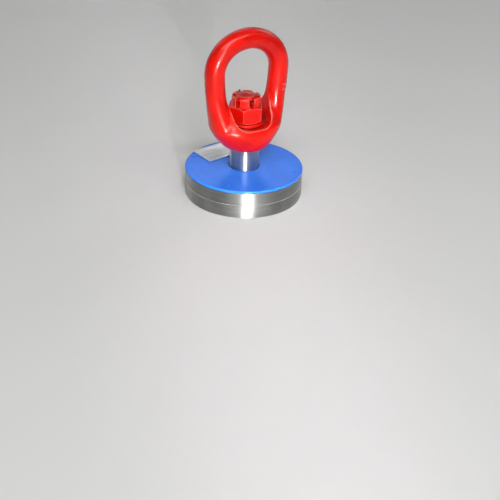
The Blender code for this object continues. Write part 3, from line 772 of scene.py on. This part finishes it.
def thread_cut(angle, radius, height):
    """The stud's thread, which runs out at its foot."""
    end_face = STUD_RADIUS - 1.3 * MM
    if height < THREAD_LOW or radius < end_face:
        return radius
    turn = (height / THREAD_PITCH - angle / (2.0 * pi)) % 1.0
    groove = min(max((abs(2.0 * turn - 1.0) - THREAD_CREST) / THREAD_FLANK, 0.0), 1.0)
    run_in = min((height - THREAD_LOW) / THREAD_PITCH, 1.0)
    return min(radius, STUD_RADIUS - THREAD_DEPTH * groove * run_in)


def make_stem():
    """The stem, its flange and its threaded stud, with a centre dimple on top and a hole for the pin."""
    chamfer = 1.4 * MM
    dimple = STUD_TOP - 0.5 * MM
    top = [(0.0, dimple), (1.6 * MM, dimple), (2.2 * MM, STUD_TOP)]
    top += [(STUD_RADIUS - chamfer - 2.0 * MM, STUD_TOP), (STUD_RADIUS - chamfer, STUD_TOP)]
    rows = 128
    wall = []
    for i in range(1, rows + 1):
        height = STUD_TOP - (STUD_TOP - THREAD_LOW + MM) * i / rows
        wall.append((min(STUD_RADIUS, STUD_RADIUS - chamfer + STUD_TOP - height), height))
    foot = filleted([(STUD_RADIUS, THREAD_LOW - 2.0 * MM, 0.0), (STUD_RADIUS, SHOULDER_Z, 0.15 * MM),
                     (STEM_RADIUS, SHOULDER_Z, 0.6 * MM), (STEM_RADIUS, STEM_FLANGE_TOP, 0.2 * MM),
                     (STEM_FLANGE_RADIUS, STEM_FLANGE_TOP, 0.4 * MM),
                     (STEM_FLANGE_RADIUS, PARTING_Z, 0.2 * MM), (0.0, PARTING_Z, 0.0)], closed=False)
    stem = turned("stem_turned", top + wall + foot, MID_STEPS, closed=False, shape=thread_cut)
    hole = turned("pin_hole", straight_hole(PIN_HOLE_RADIUS, -1.5 * STUD_RADIUS, 1.5 * STUD_RADIUS),
                  SMALL_STEPS, closed=False)
    hole.rotation_euler = (0.0, pi / 2.0, NUT_TURN)
    hole.location = (0.0, 0.0, PIN_Z)
    bpy.context.view_layer.update()
    cut(stem, hole)
    shade_round(stem)
    finish_piece(stem, STEM_STEEL, "ground_steel", "magnet", "stem")
    stem.data.materials.append(RED)
    for face in stem.data.polygons:
        if face.center.z > WASHER_TOP:
            face.material_index = 1


def slot_rings(turn):
    """One long cutter through the nut's crown: upright sides and a round bottom."""
    half = NUT_SLOT_WIDTH / 2.0
    low = NUT_HEX_TOP + 0.1 * MM
    high = NUT_TOP + 2.0 * MM
    outline = [(half, high)] + arc((0.0, low + half), half, 0.0, -180.0, 16) + [(-half, high)]
    reach = 1.5 * NUT_CROWN_RADIUS
    spin = Matrix.Rotation(turn, 4, "Z")
    return [[spin @ Vector((x, y, z)) for y, z in outline] for x in (-reach, reach)]


def make_nut():
    """A hexagon bar trimmed by a turned envelope, then bored and slotted. Paint rounds all its edges."""
    half_flats = NUT_ACROSS_FLATS / 2.0
    corner = half_flats / cos(pi / 6.0)
    turns = [NUT_TURN + (i + 0.5) * pi / 3.0 for i in range(6)]
    hexagon = [(corner * cos(turn), corner * sin(turn)) for turn in turns]
    nut = loft("nut_castellated", [[(x, y, z) for x, y in hexagon] for z in (NUT_BOTTOM, NUT_TOP + MM)])
    drop = (corner - half_flats) * 0.6
    neck = half_flats - 0.5 * MM
    past = 0.2 * MM
    envelope = filleted([
        (0.0, NUT_TOP, 0.0), (NUT_CROWN_RADIUS, NUT_TOP, 0.8 * MM),
        (NUT_CROWN_RADIUS, NUT_HEX_TOP, 0.5 * MM), (neck, NUT_HEX_TOP, 0.3 * MM),
        (corner + past, NUT_HEX_TOP - drop - past, 0.0), (corner + past, NUT_BOTTOM + drop + past, 0.0),
        (neck, NUT_BOTTOM, 0.0), (0.0, NUT_BOTTOM, 0.0)], closed=False)
    cut(nut, turned("envelope", envelope, MID_STEPS, closed=False), "INTERSECT")
    bore = filleted([(0.0, NUT_TOP + MM, 0.0), (STUD_RADIUS + 2.3 * MM, NUT_TOP + MM, 0.0),
                     (STUD_RADIUS + CLEAR, NUT_TOP - MM, 0.0), (STUD_RADIUS + CLEAR, NUT_BOTTOM - MM, 0.0),
                     (0.0, NUT_BOTTOM - MM, 0.0)], closed=False)
    cut(nut, turned("bore", bore, MID_STEPS, closed=False))
    for number in range(3):
        cut(nut, loft("slot", slot_rings(NUT_TURN + number * pi / 3.0)))
    remesh(nut, 0.3 * MM)
    relax(nut, 3)
    mark_edges(nut, 0.03 * MM)
    nut.data.shade_smooth()
    finish_piece(nut, RED, "red_paint", "magnet", "castle_nut")


def make_washer():
    bore = STUD_RADIUS + CLEAR
    outline = filleted([(WASHER_RADIUS, WASHER_TOP, 0.6 * MM), (WASHER_RADIUS, WASHER_LOW, 0.4 * MM),
                        (bore, WASHER_LOW, 0.3 * MM), (bore, WASHER_TOP, 0.3 * MM)])
    finish_piece(turned("washer_thrust", outline), RED, "red_paint", "magnet", "thrust_washer")


def pin_outline():
    """The split pin's wire in its own plane: up-bent tail, shank, eye loop, shank, down-bent tail."""
    bend = 2.0 * MM
    leave = 15.6 * MM        # how far out the shank runs before it bends
    tail = 9.0 * MM
    steps = 12
    half = PIN_HALF_PITCH
    upper = [(-leave - bend, 4.4 * MM), (-leave - bend, 3.6 * MM)]
    upper += arc((-leave, half + bend), bend, 180.0, 270.0, steps)
    upper += [(-leave + (2.0 * leave) * i / steps, half) for i in range(1, steps)]
    opening = 180.0 - 31.5
    loop = arc((leave + 3.0 * MM, 0.0), PIN_LOOP_RADIUS, opening, -opening, 40)
    drop = 1.9 * MM
    lower = [(leave - (2.0 * leave + drop) * i / steps, -half) for i in range(1, steps)]
    lower += arc((-leave - drop, -half - bend), bend, 90.0, 180.0, steps)
    lower += [(-leave - drop - bend, -half - bend - (tail - half - bend) * i / 4.0) for i in range(1, 5)]
    return upper + loop + lower


def make_pin():
    """Half-round wire folded on itself, swept along the outline; its flat side faces the other leg."""
    path = [Vector(point) for point in pin_outline()]
    sides = 20
    flat = 0.55
    rings = []
    for i, place in enumerate(path):
        run = (path[min(i + 1, len(path) - 1)] - path[max(i - 1, 0)]).normalized()
        inward = Vector((run.y, -run.x))
        taper = 0.8 if i in (0, len(path) - 1) else 1.0
        ring = []
        for k in range(sides):
            angle = 2.0 * pi * k / sides
            across = PIN_WIRE * taper * sin(angle)
            toward = PIN_WIRE * taper * min(cos(angle), flat)
            point = place + inward * toward
            ring.append(Vector((point.x, across, point.y)))
        rings.append(ring)
    turn = Matrix.Translation((0.0, 0.0, PIN_Z)) @ Matrix.Rotation(NUT_TURN, 4, "Z")
    pin = loft("pin_split", [[turn @ point for point in ring] for ring in rings])
    shade_round(pin, 50.0)
    finish_piece(pin, RED, "red_paint", "magnet", "split_pin")


# ----------------------------------------------------------------- magnet body

cover_places = on_circle(COVER_SCREW_CIRCLE, 4, radians(45.0))
body_places = on_circle(BODY_SCREW_CIRCLE, 4)
pole_places = on_circle(POLE_SCREW_CIRCLE, 4, radians(22.5))


def make_cover():
    outline = filleted([(BODY_RADIUS, COVER_TOP, COVER_EDGE_RADIUS), (BODY_RADIUS, COVER_LOW, 0.2 * MM),
                        (COVER_HOLE_RADIUS, COVER_LOW, 0.2 * MM), (COVER_HOLE_RADIUS, COVER_TOP, 0.5 * MM)])
    cover = turned("cover_disc", outline, BIG_STEPS)
    head = COVER_HEAD_RADIUS + CLEAR
    shank = COVER_SCREW_RADIUS + CLEAR
    hole = [(0.0, COVER_TOP + MM), (head + 1.25 * MM, COVER_TOP + MM), (head, COVER_TOP - 0.25 * MM),
            (head, COVER_SINK_LOW), (shank, COVER_HEAD_LOW), (shank, COVER_LOW - MM), (0.0, COVER_LOW - MM)]
    drill(cover, cover_places, hole)
    finish_piece(cover, BLUE, "blue_paint", "magnet", "top_cover")


def make_yoke():
    bore = STEM_RADIUS + CLEAR
    recess = STEM_FLANGE_RADIUS + CLEAR
    recess_top = STEM_FLANGE_TOP + CLEAR
    groove = STEM_RADIUS + STEM_SEAL_DEPTH
    groove_low = STEM_SEAL_Z - STEM_SEAL_HALF
    groove_high = STEM_SEAL_Z + STEM_SEAL_HALF
    outline = filleted([
        (YOKE_RADIUS, YOKE_TOP, CLEAR), (YOKE_RADIUS, PARTING_Z, 0.05 * MM), (recess, PARTING_Z, 0.0),
        (recess, recess_top, 0.0), (bore, recess_top, 0.0), (bore, groove_low, 0.0),
        (groove, groove_low, 0.0), (groove, groove_high, 0.0), (bore, groove_high, 0.0),
        (bore, YOKE_TOP, 0.0)])
    yoke = turned("yoke_disc", outline, BIG_STEPS)
    above = YOKE_TOP + MM
    below = PARTING_Z - MM
    drill(yoke, cover_places, straight_hole(COVER_SCREW_RADIUS + CLEAR, COVER_THREAD_LOW, above))
    head = BODY_HEAD_RADIUS + CLEAR
    shank = BODY_SCREW_RADIUS + CLEAR
    drill(yoke, body_places, [(0.0, above), (head, above), (head, BODY_HEAD_SEAT),
                              (shank, BODY_HEAD_SEAT), (shank, below), (0.0, below)])
    drill(yoke, pole_places, straight_hole(POLE_SCREW_RADIUS + CLEAR, below, POLE_THREAD_TOP))
    finish_piece(yoke, BODY_STEEL, "ground_steel", "magnet", "yoke_plate")


def make_pole_ring():
    inner = GAP_RING_RADIUS + CLEAR
    groove_in = SEAL_CIRCLE - SEAL_GROOVE_HALF
    groove_out = SEAL_CIRCLE + SEAL_GROOVE_HALF
    floor = POLE_RING_TOP - SEAL_GROOVE_DEPTH
    outline = filleted([
        (BODY_RADIUS, POLE_RING_TOP, SEAM_CHAMFER), (BODY_RADIUS, 0.0, FOOT_CHAMFER),
        (inner, 0.0, 0.25 * MM), (inner, POLE_RING_TOP, 0.0), (groove_in, POLE_RING_TOP, 0.0),
        (groove_in, floor, 0.0), (groove_out, floor, 0.0), (groove_out, POLE_RING_TOP, 0.0)])
    ring = turned("pole_disc", outline, BIG_STEPS)
    drill(ring, body_places, straight_hole(BODY_SCREW_RADIUS + CLEAR, BODY_THREAD_LOW, PARTING_Z + MM))
    finish_piece(ring, BODY_STEEL, "ground_steel", "magnet", "pole_ring")
    # The seam chamfer's faces take the painted highlight finish.
    ring.data.materials.append(SEAM_HIGHLIGHT)
    for face in ring.data.polygons:
        x, y, z = face.center
        if z > POLE_RING_TOP - SEAM_CHAMFER and x * x + y * y > (BODY_RADIUS - SEAM_CHAMFER) ** 2:
            face.material_index = 1


def make_centre_pole():
    outline = filleted([(0.0, POLE_TOP, 0.0), (POLE_RADIUS, POLE_TOP, CLEAR), (POLE_RADIUS, 0.0, CLEAR),
                        (0.0, 0.0, 0.0)], closed=False)
    pole = turned("inner_pole_disc", outline, BIG_STEPS, closed=False)
    head = POLE_HEAD_RADIUS + CLEAR
    shank = POLE_SCREW_RADIUS + CLEAR
    hole = [(0.0, POLE_TOP + MM), (shank, POLE_TOP + MM), (shank, POLE_HEAD_TOP), (head, POLE_SINK_LOW),
            (head, 0.2 * MM), (head + 1.2 * MM, -MM), (0.0, -MM)]
    drill(pole, pole_places, hole)
    finish_piece(pole, BODY_STEEL, "ground_steel", "magnet", "centre_pole")


def make_gap_ring():
    inner = POLE_RADIUS + CLEAR
    edge = 0.2 * MM
    outline = filleted([(GAP_RING_RADIUS, POLE_TOP, edge), (GAP_RING_RADIUS, GAP_RING_LOW, edge),
                        (inner, GAP_RING_LOW, edge), (inner, POLE_TOP, edge)])
    finish_piece(turned("gap_band", outline, BIG_STEPS), BRASS, "brass", "magnet", "gap_ring")


def hexagon_socket(radius, low, high, place):
    turns = [i * pi / 3.0 for i in range(6)]
    ring = [(place[0] + radius * cos(turn), place[1] + radius * sin(turn)) for turn in turns]
    return loft("socket", [[(x, y, z) for x, y in ring] for z in (low, high)])


def make_screws(kind, places, outline, socket, mat, slot):
    """The same turned screw at each place, with a hexagon socket of this radius, low and high."""
    for number, place in enumerate(places, 1):
        screw = turned(f"{kind}_{number}_fine", outline, SMALL_STEPS, closed=False)
        screw.data.transform(Matrix.Translation((*place, 0.0)))
        cut(screw, hexagon_socket(*socket, place))
        shade_round(screw)
        finish_piece(screw, mat, slot, "magnet", f"{kind}_{number}")


def make_cover_screws():
    top = COVER_HEAD_TOP
    head = COVER_HEAD_RADIUS
    shank = COVER_SCREW_RADIUS
    outline = filleted([(0.0, top, 0.0), (head, top, 0.12 * MM), (head, top - 0.3 * MM, 0.05 * MM),
                        (shank, COVER_HEAD_LOW, 0.1 * MM), (shank, COVER_SCREW_LOW, 0.4 * MM),
                        (0.0, COVER_SCREW_LOW, 0.0)], closed=False)
    socket = (COVER_SOCKET_RADIUS, COVER_SOCKET_LOW, top + MM)
    make_screws("cover_screw", cover_places, outline, socket, BLUE, "blue_paint")


def make_pole_screws():
    face = POLE_HEAD_FACE
    head = POLE_HEAD_RADIUS
    shank = POLE_SCREW_RADIUS
    outline = filleted([(0.0, POLE_SCREW_TOP, 0.0), (shank, POLE_SCREW_TOP, 0.6 * MM),
                        (shank, POLE_HEAD_TOP, 0.15 * MM), (head, face + 0.35 * MM, 0.05 * MM),
                        (head, face, 0.15 * MM), (0.0, face, 0.0)], closed=False)
    socket = (POLE_SOCKET_RADIUS, face - MM, POLE_SOCKET_TOP)
    make_screws("pole_screw", pole_places, outline, socket, BLACK_STEEL, "dark_steel")


def rounded_rectangle(half_x, half_y, corner, z):
    ring = []
    for sign_x, sign_y, start in ((1, 1, 0.0), (-1, 1, 90.0), (-1, -1, 180.0), (1, -1, 270.0)):
        centre = (sign_x * (half_x - corner), sign_y * (half_y - corner))
        ring += [(x, y, z) for x, y in arc(centre, corner, start, start + 90.0, 8)]
    return ring


def make_plate():
    """A stamped plate: rounded corners and edges, and a shallow blank field inside a raised border."""
    half_x = PLATE_WIDTH / 2.0
    half_y = PLATE_LENGTH / 2.0
    corner = 1.6 * MM
    thick = PLATE_TOP - PLATE_LOW
    floor = thick - PLATE_FIELD_DEPTH
    edge = 0.3 * MM
    mid_edge = 0.08 * MM
    levels = [(edge, 0.0), (mid_edge, mid_edge), (0.0, edge), (0.0, thick - edge),
              (mid_edge, thick - mid_edge), (edge, thick), (PLATE_BORDER - 0.1 * MM, thick),
              (PLATE_BORDER, thick - 0.06 * MM), (PLATE_BORDER + 0.15 * MM, floor + 0.04 * MM),
              (PLATE_BORDER + 0.3 * MM, floor)]
    rings = [rounded_rectangle(half_x - inset, half_y - inset, max(corner - 0.6 * inset, 0.4 * MM), z)
             for inset, z in levels]
    plate = loft("plate_blank", rings)
    shade_round(plate)
    plate.matrix_world = (Matrix.Rotation(PLATE_ANGLE, 4, "Z")
                          @ Matrix.Translation((PLATE_CIRCLE, 0.0, PLATE_LOW)))
    finish_piece(plate, PLATE_METAL, "plate_metal", "magnet", "rating_plate")


def finish_inner_nodes():
    """The pieces inside the body keep their CAD shapes and get full finishes."""
    finishes = {"body_screw": BLACK_STEEL, "magnet": NICKEL, "magnet_carrier": CAST_ALUMINIUM,
                "body_seal": RUBBER, "stem_seal": RUBBER, "eye_bush": BRASS}
    for name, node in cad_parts.items():
        kind = name.rstrip("_0123456789")
        if kind in finishes:
            node.data.materials.clear()
            node.data.materials.append(finishes[kind])


make_eye()
make_stem()
make_nut()
make_washer()
make_pin()
make_cover()
make_yoke()
make_pole_ring()
make_centre_pole()
make_gap_ring()
make_cover_screws()
make_pole_screws()
make_plate()
finish_inner_nodes()


# ------------------------------------------------------- floor, light, camera

FLOOR_REACH = 12.0
LIGHT_TARGET = Vector((0.0, 0.0, 0.08))
WORLD_COLOUR = (0.95, 0.97, 1.0, 1.0)
WORLD_STRENGTH = 0.10

# Name, azimuth, elevation, distance, width and height, power, spread
LIGHTS = (
    ("overhead", -16.0, 57.0, 1.5, (1.8, 0.13), 14.0, pi),
    ("front_strip", -21.0, 40.0, 1.5, (0.17, 0.9), 8.0, pi),
    ("low_front_strip", -21.0, 5.0, 1.5, (0.10, 0.2), 0.40, radians(16.0)),
    ("left_box", -96.0, 16.0, 1.5, (0.3, 0.5), 0.3, pi),
    ("right_box", 62.0, 30.0, 1.7, (0.2, 0.8), 0.8, pi),
    ("back_card", 160.0, 36.0, 1.6, (0.9, 0.6), 2.4, pi),
    ("right_fill", 110.0, 35.0, 1.7, (0.8, 0.8), 4.0, pi),
    ("left_fill", 197.0, 30.0, 1.7, (0.6, 0.8), 3.0, pi),
)

CAMERA_LENS = 60.88
CAMERA_SENSOR = 36.0
CAMERA_TURN = radians(-30.0)     # about Z, applied to the place and axes that follow
CAMERA_PLACE = Vector((0.0, -0.812157, 0.429120))
CAMERA_AHEAD = Vector((0.010482, 0.848806, -0.528601))
CAMERA_RIGHT = Vector((0.999388, 0.008756, 0.033877))
CAMERA_ABOVE = Vector((-0.033383, 0.528632, 0.848194))


def make_floor():
    reach = FLOOR_REACH
    mesh = bpy.data.meshes.new("floor")
    corners = [(-reach, -reach, 0.0), (reach, -reach, 0.0), (reach, reach, 0.0), (-reach, reach, 0.0)]
    mesh.from_pydata(corners, [], [(0, 1, 2, 3)])
    floor = bpy.data.objects.new("floor", mesh)
    bpy.context.scene.collection.objects.link(floor)
    mat, tree, shader = new_finish("pale_floor", Roughness=0.6)
    tone = add_noise(tree, object_place(tree), 3.0, 2.0)
    colour = add_mix(tree, tone, (0.60, 0.60, 0.59), (0.64, 0.64, 0.63))
    tree.links.new(colour, shader.inputs["Base Color"])
    mesh.materials.append(mat)


def add_light(name, azimuth, elevation, distance, size, power, spread):
    """A soft box that looks at the magnet. Azimuth 0 is in front, on -Y, and 90 is on +X."""
    data = bpy.data.lights.new(name, "AREA")
    data.shape = "RECTANGLE"
    data.size, data.size_y = size
    data.energy = power
    data.spread = spread
    light = bpy.data.objects.new(name, data)
    bpy.context.scene.collection.objects.link(light)
    around = radians(azimuth)
    up = radians(elevation)
    back = Vector((sin(around) * cos(up), -cos(around) * cos(up), sin(up)))
    light.location = LIGHT_TARGET + back * distance
    light.rotation_mode = "QUATERNION"
    light.rotation_quaternion = (-back).to_track_quat("-Z", "Y")


def make_world():
    world = bpy.data.worlds.new("studio")
    world.use_nodes = True
    background = world.node_tree.nodes["Background"]
    background.inputs["Color"].default_value = WORLD_COLOUR
    background.inputs["Strength"].default_value = WORLD_STRENGTH
    bpy.context.scene.world = world


def make_camera():
    data = bpy.data.cameras.new("camera")
    data.sensor_width = CAMERA_SENSOR
    data.lens = CAMERA_LENS
    data.clip_start = 0.01
    camera = bpy.data.objects.new("camera", data)
    bpy.context.scene.collection.objects.link(camera)
    turn = Matrix.Rotation(CAMERA_TURN, 3, "Z")
    axes = (turn @ CAMERA_RIGHT, turn @ CAMERA_ABOVE, -(turn @ CAMERA_AHEAD))
    pose = Matrix(axes).transposed().to_4x4()
    pose.translation = turn @ CAMERA_PLACE
    camera.matrix_world = pose
    bpy.context.scene.camera = camera


make_floor()
for settings in LIGHTS:
    add_light(*settings)
make_world()
make_camera()
bpy.context.scene.view_settings.view_transform = "Standard"

bpy.context.view_layer.update()
